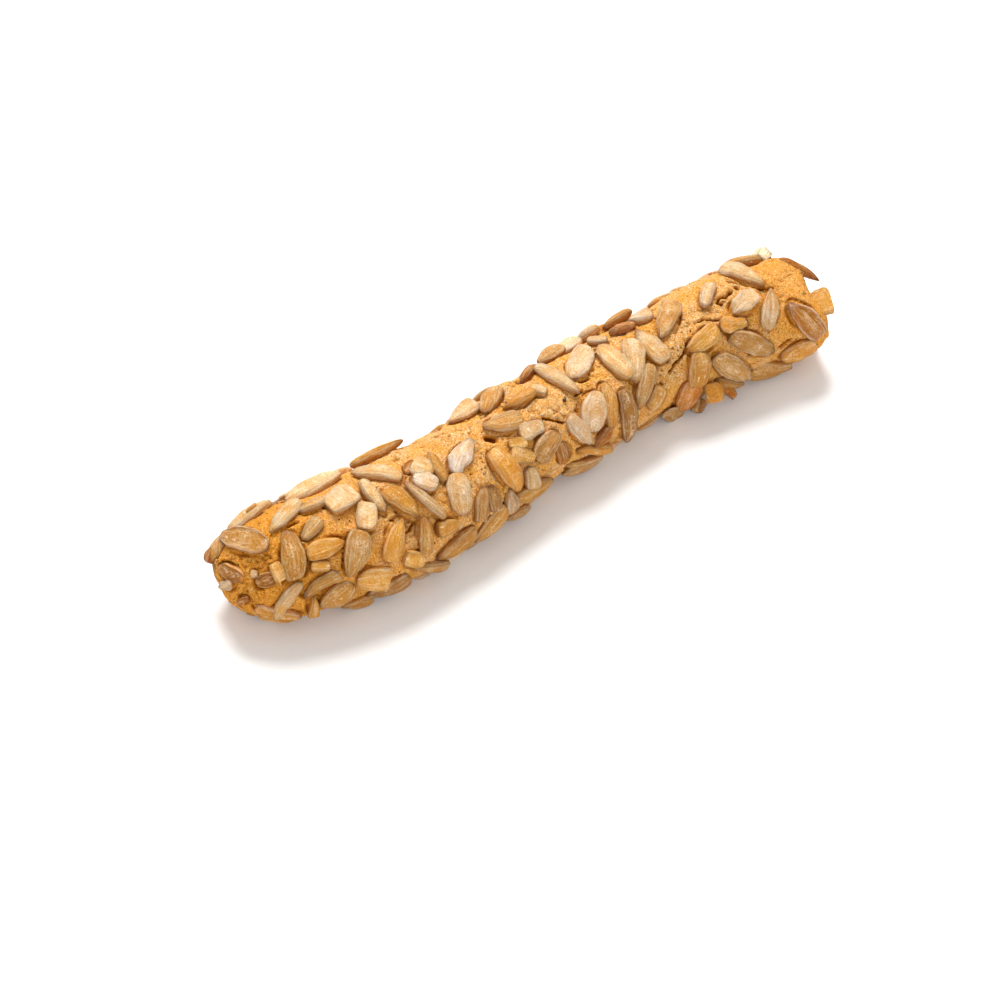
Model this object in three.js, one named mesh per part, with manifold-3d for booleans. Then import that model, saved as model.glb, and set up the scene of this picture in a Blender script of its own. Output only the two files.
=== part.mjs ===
// A grissini breadstick: a hand-rolled stick of dough, baked in a coat of sunflower kernels.
// Millimetres, +Z up. The stick lies along X on the flat sole that the baking tray gave it.
// The origin is on the sole, midway along the dough. "Around" is an angle from the top of the
// stick, growing towards -Y, and a "station" runs from 0 at the left tip to 1 at the right tip.
import * as THREE from "three";
import { mergeVertices } from "three/addons/utils/BufferGeometryUtils.js";
import Module from "manifold-3d";

// The dough.
const DOUGH_LENGTH = 154.8; // tip to tip
const DOUGH_RADIUS = 12;
const TAPER = 0.7; // the left half is up to this much thicker, the right half as much thinner
const OVAL = 1.04; // the stick has slumped: wider than round by this, and lower by as much
const AXIS_HEIGHT = 10.2; // under the radius, so that the plane z = 0 cuts the flat sole
const S_BEND = 4; // sideways swing of the two halves
const BOW = 0.45; // sideways set of the middle
// Each end rounds off over a length. A bluntness of 2 is a round end, and more is a squarer one.
const LEFT_CAP = { length: 26, bluntness: 2.5 };
const RIGHT_CAP = { length: 9, bluntness: 3.4 };

// Low, rolling unevenness from the hands: long lumps that lie to one side, and short ones that wind round.
const LONG_LUMPS = { height: 0.45, spacing: 53, lean: 1.4, start: 0.6 };
const SHORT_LUMPS = { height: 0.27, spacing: 31, turns: 2, start: 1.1 };

// Where rolling left the dough thicker or thinner: the middle of the place, by how much and how far.
const SWELLS = [
  { x: -38, rise: 0.45, reach: 14 },
  { x: 22, rise: -0.9, reach: 22 },
];

// The splits that opened in the crust as the dough rose: where, how long, how wide and how deep.
const SPLITS = [
  { x: -26, around: -0.15, halfLength: 21, halfWidth: 2.4, depth: 1.1, slant: 0.12 },
  { x: 32, around: 0.35, halfLength: 13, halfWidth: 2.2, depth: 0.9, slant: -0.5 },
  { x: 54, around: 0.1, halfLength: 10, halfWidth: 2.0, depth: 0.8, slant: -0.2 },
];

// The kernels.
const KERNEL = { length: 10.6, width: 5.7, thickness: 3.2 };
const KERNEL_TIPWARD = 1.2; // over 1, the widest place moves from the middle to the blunt end
const KERNEL_FULLNESS = 0.7; // under 1, the sides are fuller than a plain oval's
const KERNEL_COUNT = 166; // on the whole crust, of which those on the sole are baked flush
const KERNEL_SEED = 20;
const KERNEL_SIZE_SPREAD = 0.14; // each is up to this share longer or shorter
const KERNEL_LIFT = 0.24; // how far a kernel's middle lies above the crust, as a share of its thickness
const KERNEL_TILT = 0.2; // the most that one end lifts, in radians
const KERNEL_NUDGE = 2.2; // how far one strays from its even spacing
const SOLE_HALF_ANGLE = 0.72; // those nearer than this to straight down are flush, and left out
const END_MARGIN = 0.004; // no kernel is nearer to a tip than this share of the outline

// How finely the faceted solid follows the shape.
const DOUGH_STEPS_AROUND = 20;
const DOUGH_STEPS_ALONG = 32;
const KERNEL_STEPS_AROUND = 6;
const KERNEL_STEPS_ALONG = 3;
const AREA_STEPS = 240;
const CAP_STRETCH = 1.35; // an end's outline, which curves in, beside the length that it rounds off over
const FRAME_STEP = 0.004; // the step to either side that the crust's own directions are measured over

const FULL_TURN = 2 * Math.PI;
const QUARTER_TURN = Math.PI / 2;
const GOLDEN_ANGLE = Math.PI * (3 - Math.sqrt(5));
const HALF_LENGTH = DOUGH_LENGTH / 2;
const LEFT_ARC = LEFT_CAP.length * CAP_STRETCH;
const RIGHT_ARC = RIGHT_CAP.length * CAP_STRETCH;
const OUTLINE_LENGTH = DOUGH_LENGTH - LEFT_CAP.length - RIGHT_CAP.length + LEFT_ARC + RIGHT_ARC;

const wasm = await Module();
wasm.setup();

// Numbers from 0 to 1 that are the same on every run, from a linear congruential generator.
function makeDice(seed) {
  const factor = 1664525;
  const step = 1013904223;
  const range = 2 ** 32;
  let state = seed;
  return () => {
    state = (factor * state + step) % range;
    return state / range;
  };
}

// How far a cap's outline is from its tip, and its share of the full radius, from 0 at the tip to 1.
function capAt(cap, walked) {
  const turn = Math.max(0, walked) * QUARTER_TURN;
  const power = 2 / cap.bluntness;
  return { inset: cap.length * (1 - Math.cos(turn) ** power), share: Math.sin(turn) ** power };
}

// Where a station lies along X, and how much of the full radius the dough has there.
function outlineAt(station) {
  const fromLeft = station * OUTLINE_LENGTH;
  const fromRight = OUTLINE_LENGTH - fromLeft;
  if (fromLeft < LEFT_ARC) {
    const { inset, share } = capAt(LEFT_CAP, fromLeft / LEFT_ARC);
    return { x: -HALF_LENGTH + inset, share };
  }
  if (fromRight < RIGHT_ARC) {
    const { inset, share } = capAt(RIGHT_CAP, fromRight / RIGHT_ARC);
    return { x: HALF_LENGTH - inset, share };
  }
  return { x: -HALF_LENGTH + LEFT_CAP.length + fromLeft - LEFT_ARC, share: 1 };
}

// The sideways place of the stick's axis.
function axisY(x) {
  const t = x / HALF_LENGTH;
  return S_BEND * Math.sin(Math.PI * t) + BOW * Math.cos(QUARTER_TURN * t);
}

// How high the lumps stand at a place on the crust.
function lump(x, around) {
  const lean = LONG_LUMPS.lean * Math.cos(around + LONG_LUMPS.start);
  const wind = SHORT_LUMPS.start - SHORT_LUMPS.turns * around;
  const long = LONG_LUMPS.height * Math.sin((FULL_TURN * x) / LONG_LUMPS.spacing + lean);
  const short = SHORT_LUMPS.height * Math.sin((FULL_TURN * x) / SHORT_LUMPS.spacing + wind);
  return long + short;
}

// How deep the splits are at a place on the crust.
function splitDepth(x, around) {
  let depth = 0;
  for (const split of SPLITS) {
    const alongSplit = (x - split.x) / split.halfLength;
    const aroundFromMiddle = Math.atan2(Math.sin(around - split.around), Math.cos(around - split.around));
    const sideways = aroundFromMiddle * DOUGH_RADIUS - split.slant * (x - split.x);
    depth += split.depth * Math.exp(-(alongSplit ** 4) - (sideways / split.halfWidth) ** 2);
  }
  return depth;
}

// A point of the crust.
function crustPoint(station, around) {
  const { x, share } = outlineAt(station);
  const t = x / HALF_LENGTH;
  const swell = SWELLS.reduce((sum, { x: middle, rise, reach }) => {
    return sum + rise * Math.exp(-(((x - middle) / reach) ** 2));
  }, 0);
  const full = DOUGH_RADIUS - TAPER * t + swell + lump(x, around) - splitDepth(x, around);
  const radius = full * share;
  const y = axisY(x) - radius * OVAL * Math.sin(around);
  const z = AXIS_HEIGHT + (radius / OVAL) * Math.cos(around);
  return new THREE.Vector3(x, y, z);
}

// The crust's own directions at a place: along the stick, round it and straight out of it.
function crustFrame(station, around) {
  const ahead = crustPoint(Math.min(1, station + FRAME_STEP), around);
  const behind = crustPoint(Math.max(0, station - FRAME_STEP), around);
  const along = ahead.sub(behind).normalize();
  const beyond = crustPoint(station, around + FRAME_STEP);
  const round = beyond.sub(crustPoint(station, around - FRAME_STEP)).normalize();
  const out = new THREE.Vector3().crossVectors(round, along).normalize();
  return { along, round, out };
}

// A closed geometry as a manifold-3d solid.
function solidOf(geometry) {
  const bare = geometry.clone().deleteAttribute("normal").deleteAttribute("uv");
  const merged = mergeVertices(bare, 1e-4);
  return new wasm.Manifold(
    new wasm.Mesh({
      numProp: 3,
      vertProperties: merged.attributes.position.array,
      triVerts: new Uint32Array(merged.index.array),
    }),
  );
}

// A manifold-3d solid as a geometry.
function geometryOf(solid) {
  const { vertProperties, triVerts } = solid.getMesh();
  const geometry = new THREE.BufferGeometry();
  geometry.setAttribute("position", new THREE.BufferAttribute(vertProperties, 3));
  geometry.setIndex(new THREE.BufferAttribute(triVerts, 1));
  geometry.computeVertexNormals();
  return geometry;
}

// The bare dough: a sphere's grid, laid out tip to tip.
function doughGeometry() {
  const geometry = new THREE.SphereGeometry(1, DOUGH_STEPS_AROUND, DOUGH_STEPS_ALONG);
  const { position, uv } = geometry.attributes;
  for (let i = 0; i < position.count; i++) {
    const place = crustPoint(uv.getY(i), uv.getX(i) * FULL_TURN);
    position.setXYZ(i, place.x, place.y, place.z);
  }
  return geometry;
}

// One kernel about its own middle: its pointed tip at -X, its blunt end at +X, its flat side down.
function kernelGeometry() {
  const geometry = new THREE.SphereGeometry(1, KERNEL_STEPS_AROUND, KERNEL_STEPS_ALONG);
  const { position, uv } = geometry.attributes;
  for (let i = 0; i < position.count; i++) {
    const along = Math.sin(uv.getY(i) * QUARTER_TURN);
    const around = uv.getX(i) * FULL_TURN;
    const plump = Math.max(0, Math.sin(Math.PI * along ** KERNEL_TIPWARD)) ** KERNEL_FULLNESS;
    const x = KERNEL.length * (along - 0.5);
    const y = (KERNEL.width / 2) * plump * Math.cos(around);
    const z = (KERNEL.thickness / 2) * plump * Math.sin(around);
    position.setXYZ(i, x, y, z);
  }
  return geometry;
}

// The station that has a given share of the crust's area on its left.
function makeStationByArea() {
  const areas = [0];
  for (let i = 1; i <= AREA_STEPS; i++) {
    areas.push(areas[i - 1] + outlineAt((i - 0.5) / AREA_STEPS).share);
  }
  return (share) => {
    const wanted = share * areas[AREA_STEPS];
    const i = areas.findIndex((area) => area >= wanted);
    const below = areas[Math.max(0, i - 1)];
    return (i - (areas[i] - wanted) / Math.max(1e-9, areas[i] - below)) / AREA_STEPS;
  };
}

// Where each kernel sits: an even spiral over the whole crust, nudged, turned and tilted by hand.
function kernelPlaces() {
  const roll = makeDice(KERNEL_SEED);
  const stationByArea = makeStationByArea();
  const places = [];
  for (let i = 0; i < KERNEL_COUNT; i++) {
    const nudgeAlong = ((roll() * 2 - 1) * KERNEL_NUDGE) / OUTLINE_LENGTH;
    const nudgeAround = ((roll() * 2 - 1) * KERNEL_NUDGE) / DOUGH_RADIUS;
    const evenly = stationByArea((i + 0.5) / KERNEL_COUNT);
    const station = THREE.MathUtils.clamp(evenly + nudgeAlong, END_MARGIN, 1 - END_MARGIN);
    const around = (i * GOLDEN_ANGLE + nudgeAround) % FULL_TURN;
    const turn = roll() * FULL_TURN;
    const tilt = (roll() * 2 - 1) * KERNEL_TILT;
    const size = 1 + (roll() * 2 - 1) * KERNEL_SIZE_SPREAD;
    if (Math.abs(around - Math.PI) > SOLE_HALF_ANGLE) {
      places.push({ station, around, turn, tilt, size });
    }
  }
  return places;
}

// The matrix that beds a kernel in the crust.
function kernelMatrix({ station, around, turn, tilt, size }) {
  const { along, round, out } = crustFrame(station, around);
  const length = along.multiplyScalar(Math.cos(turn)).addScaledVector(round, Math.sin(turn));
  const across = new THREE.Vector3().crossVectors(out, length).normalize();
  length.applyAxisAngle(across, tilt);
  const up = new THREE.Vector3().crossVectors(length, across);
  const middle = crustPoint(station, around).addScaledVector(out, KERNEL_LIFT * KERNEL.thickness);
  const matrix = new THREE.Matrix4().makeBasis(length.normalize(), across, up);
  return matrix.scale(new THREE.Vector3(size, size, size)).setPosition(middle);
}

// Everything under the tray's plane.
function trayGeometry() {
  const depth = 20;
  return new THREE.BoxGeometry(DOUGH_LENGTH * 2, DOUGH_LENGTH, depth).translate(0, 0, -depth / 2);
}

function breadstickGeometry() {
  const kernel = kernelGeometry();
  let solid = solidOf(doughGeometry());
  for (const place of kernelPlaces()) {
    solid = solid.add(solidOf(kernel.clone().applyMatrix4(kernelMatrix(place))));
  }
  return geometryOf(solid.subtract(solidOf(trayGeometry())));
}

const crust = new THREE.MeshStandardMaterial({ color: 0xd79f5c, roughness: 0.75, metalness: 0 });
const breadstick = new THREE.Mesh(breadstickGeometry(), crust);
breadstick.name = "breadstick";

const grissini = new THREE.Group();
grissini.add(breadstick);

export default grissini;
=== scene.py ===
import math
import bpy
import numpy as np
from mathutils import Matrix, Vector
from mathutils.bvhtree import BVHTree


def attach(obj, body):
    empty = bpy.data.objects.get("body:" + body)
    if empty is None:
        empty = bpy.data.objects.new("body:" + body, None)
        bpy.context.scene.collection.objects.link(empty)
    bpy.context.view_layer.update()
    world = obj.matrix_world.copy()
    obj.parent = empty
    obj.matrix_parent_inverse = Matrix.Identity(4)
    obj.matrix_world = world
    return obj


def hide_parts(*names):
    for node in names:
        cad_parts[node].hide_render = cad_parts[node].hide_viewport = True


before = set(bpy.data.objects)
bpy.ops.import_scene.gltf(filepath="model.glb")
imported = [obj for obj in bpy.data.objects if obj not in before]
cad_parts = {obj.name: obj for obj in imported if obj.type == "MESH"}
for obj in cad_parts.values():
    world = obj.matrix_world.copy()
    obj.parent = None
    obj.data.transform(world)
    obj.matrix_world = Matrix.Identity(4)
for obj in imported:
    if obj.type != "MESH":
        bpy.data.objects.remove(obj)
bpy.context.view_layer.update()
print("frame loaded")

# Shapes are worked out in millimetres and in "stick coordinates": a station from 0 at the thick left tip
# to 1 at the right tip, and an angle round the stick from its top, growing towards the camera's side.
mm = 0.001
fullTurn = 2 * math.pi


# one sRGB hex colour as linear light
def linear(hexColour):
    parts = [int(hexColour[i:i + 2], 16) / 255 for i in (1, 3, 5)]
    return np.array([c / 12.92 if c <= 0.04045 else ((c + 0.055) / 1.055) ** 2.4 for c in parts])


# 0 at the first value, 1 at the second, and a soft step between them
def ease(zero, one, value):
    t = np.clip((value - zero) / (one - zero), 0, 1)
    return t * t * (3 - 2 * t)


# a soft hump, 1 in its middle
def hump(value, width):
    return np.exp(-((value / width) ** 2))


def mixed(a, b, share):
    return a + (b - a) * share


def unit(vector):
    return vector / max(np.linalg.norm(vector), 1e-9)


# numbers from -1 to 1 that depend only on a lattice cell
def cellValue(x, y, z, seed):
    n = (x * 73856093) ^ (y * 19349663) ^ (z * 83492791) ^ (seed * 26544357)
    n = n & 0xFFFFFFFF
    n = ((n ^ (n >> 13)) * 1274126177) & 0xFFFFFFFF
    return ((n ^ (n >> 16)) & 0xFFFFFF) / 0x7FFFFF - 1


# smooth bumps about size mm apart, from -1 to 1
def softNoise(points, size, seed=0):
    p = points / size + 400.5
    cell = np.floor(p).astype(np.int64)
    f = p - cell
    w = f * f * f * (f * (f * 6 - 15) + 10)
    total = np.zeros(len(points))
    for corner in range(8):
        step = np.array([corner & 1, corner >> 1 & 1, corner >> 2 & 1])
        x, y, z = (cell + step).T
        share = np.prod(np.where(step, w, 1 - w), axis=1)
        slope = sum(cellValue(x, y, z, seed * 3 + k) * (f[:, k] - step[k]) for k in range(3))
        total += share * slope
    return np.clip(total * 1.5, -1, 1)


# round lumps with sharp creases between them, from -1 to 1
def lumpNoise(points, size, seed=0):
    return 2 * np.sqrt(np.abs(softNoise(points, size, seed))) - 1


# the faces of a closed surface of rings between two end points
def ringFaces(rings, around):
    i = np.arange(around)
    j = (i + 1) % around
    last, end = 1 + (rings - 1) * around, 1 + rings * around
    faces = [(0, int(b) + 1, int(a) + 1) for a, b in zip(i, j)]
    for ring in range(rings - 1):
        low, high = 1 + ring * around, 1 + (ring + 1) * around
        faces += np.stack([low + i, low + j, high + j, high + i], 1).tolist()
    faces += [(int(last + a), int(last + b), end) for a, b in zip(i, j)]
    return faces


# how a mesh stores a layer of one, three or four numbers for each point
layerKinds = {1: ("FLOAT", "value"), 3: ("FLOAT_VECTOR", "vector"), 4: ("FLOAT_COLOR", "color")}


def makePiece(name, points, faces, material, layers):
    mesh = bpy.data.meshes.new(name)
    mesh.from_pydata((np.asarray(points) * mm).tolist(), [], faces)
    for layer, values in layers.items():
        kind, field = layerKinds[values.shape[1]]
        mesh.attributes.new(layer, kind, "POINT").data.foreach_set(field, values.ravel())
    mesh.materials.append(material)
    mesh.shade_smooth()
    piece = bpy.data.objects.new(name, mesh)
    bpy.context.scene.collection.objects.link(piece)
    return piece


# the dough, in mm
dough = {
    "length": 154.8,
    "radius": 12,
    "taper": 0.7,  # the left half is up to this much thicker, the right half as much thinner
    "oval": 1.04,
    "axisHeight": 10.2,
    "sBend": 4,
    "bow": 0.45,
    "leftCap": (26, 2.5),  # how long the end takes to round off, and how blunt it is
    "rightCap": (9, 3.4),
    "capStretch": 1.35,  # how much longer than that an end's profile is walked
    "longLumps": (0.45, 53, 1.4, 0.6),  # height, spacing, lean, start
    "shortLumps": (0.27, 31, 2, 1.1),  # height, spacing, turns, start
    "swells": [(-38, 0.45, 14), (22, -0.9, 22)],  # place along the stick, rise, reach
    "topSwell": (59, 1.5, 12),  # the same, only on the top
    "crowding": 0.35,  # rings have their points closer together on top than on the sole
}
halfLength = dough["length"] / 2


def capOutline(cap, walked):
    turn = np.clip(walked, 0, 1) * math.pi / 2
    length, bluntness = cap
    return length * (1 - np.cos(turn) ** (2 / bluntness)), np.sin(turn) ** (2 / bluntness)


# where a station lies along the stick, and its share of the full radius
def outlineAt(station):
    leftArc, rightArc = (dough[cap][0] * dough["capStretch"] for cap in ("leftCap", "rightCap"))
    whole = dough["length"] - dough["leftCap"][0] - dough["rightCap"][0] + leftArc + rightArc
    fromLeft = station * whole
    fromRight = whole - fromLeft
    leftInset, leftShare = capOutline(dough["leftCap"], fromLeft / leftArc)
    rightInset, rightShare = capOutline(dough["rightCap"], fromRight / rightArc)
    x = -halfLength + dough["leftCap"][0] + fromLeft - leftArc
    x = np.where(fromLeft < leftArc, leftInset - halfLength, x)
    x = np.where(fromRight < rightArc, halfLength - rightInset, x)
    return x, np.minimum(leftShare, rightShare)


# the smooth stick: points in mm for arrays of stations and angles
def crustAt(station, around):
    x, share = outlineAt(station)
    t = x / halfLength
    height, spacing, lean, start = dough["longLumps"]
    radius = dough["radius"] - dough["taper"] * t
    radius = radius + height * np.sin(fullTurn * x / spacing + lean * np.cos(around + start))
    height, spacing, turns, start = dough["shortLumps"]
    radius = radius + height * np.sin(fullTurn * x / spacing + start - turns * around)
    for middle, rise, reach in dough["swells"]:
        radius = radius + rise * hump(x - middle, reach)
    middle, rise, reach = dough["topSwell"]
    radius = radius + rise * hump(x - middle, reach) * np.maximum(np.cos(around), 0) ** 1.5
    radius = radius * share
    y = dough["sBend"] * np.sin(math.pi * t) + dough["bow"] * np.cos(math.pi / 2 * t)
    y = y - radius * dough["oval"] * np.sin(around)
    z = dough["axisHeight"] + radius / dough["oval"] * np.cos(around)
    return np.stack([x, y, z], -1)


# the stick as rings of points: one end point, the rings, the other end point
def crustRings(rings, around):
    stations = np.arange(1, rings + 1) / (rings + 1)
    turns = fullTurn * np.arange(around) / around
    s, a = np.meshgrid(stations, turns - dough["crowding"] * np.sin(turns), indexing="ij")
    ends = crustAt(np.array([0.0, 1.0]), np.zeros(2))
    return np.concatenate([ends[:1], crustAt(s, a).reshape(-1, 3), ends[1:]])


# outward directions of a surface of rings
def ringNormals(points, rings, around):
    grid = points[1:-1].reshape(rings, around, 3)
    alongStep = np.gradient(grid, axis=0)
    aroundStep = np.roll(grid, -1, 1) - np.roll(grid, 1, 1)
    out = np.cross(aroundStep, alongStep)
    out /= np.linalg.norm(out, axis=2, keepdims=True) + 1e-12
    return np.concatenate([[[-1.0, 0, 0]], out.reshape(-1, 3), [[1.0, 0, 0]]])


# the camera, and where its pixels fall on the stick
camera = {
    "lens": 150,
    "elevation": 47,
    "azimuth": -33.75,
    "pixelsPerMm": 4.57,
    "aimPixel": (524.5, 433.9),  # where the point aimHeight above the origin falls
    "aimHeight": 12,
    "image": 1000,
    "sensorWidth": 36,
    "clip": (0.05, 20),  # in m
}


def cameraAxes():
    turn, rise = math.radians(-camera["azimuth"]), math.radians(camera["elevation"])
    right = np.array([math.cos(turn), -math.sin(turn), 0])
    level = np.array([math.sin(turn), math.cos(turn), 0])
    forward = level * math.cos(rise) - np.array([0, 0, math.sin(rise)])
    return right, np.cross(right, forward), forward


cameraRight, cameraUp, cameraForward = cameraAxes()
focalPixels = camera["lens"] / camera["sensorWidth"] * camera["image"]
cameraDistance = focalPixels / camera["pixelsPerMm"]
imageMiddle = camera["image"] / 2
aimRight = (camera["aimPixel"][0] - imageMiddle) / camera["pixelsPerMm"]
aimUp = (imageMiddle - camera["aimPixel"][1]) / camera["pixelsPerMm"]
cameraPlace = (np.array([0, 0, camera["aimHeight"]]) - cameraRight * aimRight - cameraUp * aimUp
               - cameraForward * cameraDistance)


def pixelRay(u, v):
    ray = cameraForward + cameraRight * (u - imageMiddle) / focalPixels
    ray = ray - cameraUp * (v - imageMiddle) / focalPixels
    return unit(ray)


# where a point of the model falls in the picture
def toPixel(point):
    offset = np.asarray(point) - cameraPlace
    depth = offset @ cameraForward
    return np.array([imageMiddle + focalPixels * (offset @ cameraRight) / depth,
                     imageMiddle - focalPixels * (offset @ cameraUp) / depth])


bedHeight = 0.32  # how high above the smooth crust a kernel's waist lies
seekReach, seekStep = 90, 1.5  # where along a pixel's ray the nearest crust is sought, in mm
coarseRings, coarseAround = 220, 96
coarse = crustRings(coarseRings, coarseAround)
coarseNormals = ringNormals(coarse, coarseRings, coarseAround)
coarseFaces = ringFaces(coarseRings, coarseAround)
bedTree = BVHTree.FromPolygons((coarse + coarseNormals * bedHeight).tolist(), coarseFaces)
smoothTree = BVHTree.FromPolygons(coarse.tolist(), coarseFaces)


# the point of the stick that a pixel shows: beside the outline, the nearest point to its ray, or one that
# stands out towards the ray by up to this much
def seenPoint(u, v, tree, standing=0):
    ray = pixelRay(u, v)
    hit, normal, _, _ = tree.ray_cast(Vector(cameraPlace), Vector(ray))
    if hit is not None:
        return np.array(hit), np.array(normal)
    nearest = (math.inf, None, None, None)
    for walked in np.arange(cameraDistance - seekReach, cameraDistance + seekReach, seekStep):
        place = cameraPlace + ray * walked
        near, normal, _, gap = tree.find_nearest(Vector(place))
        if gap < nearest[0]:
            nearest = (gap, np.array(near), np.array(normal), place)
    gap, near, normal, place = nearest
    return near + (place - near) * min(1, standing / max(gap, 1e-6)), normal


print("camera placed")

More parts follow.
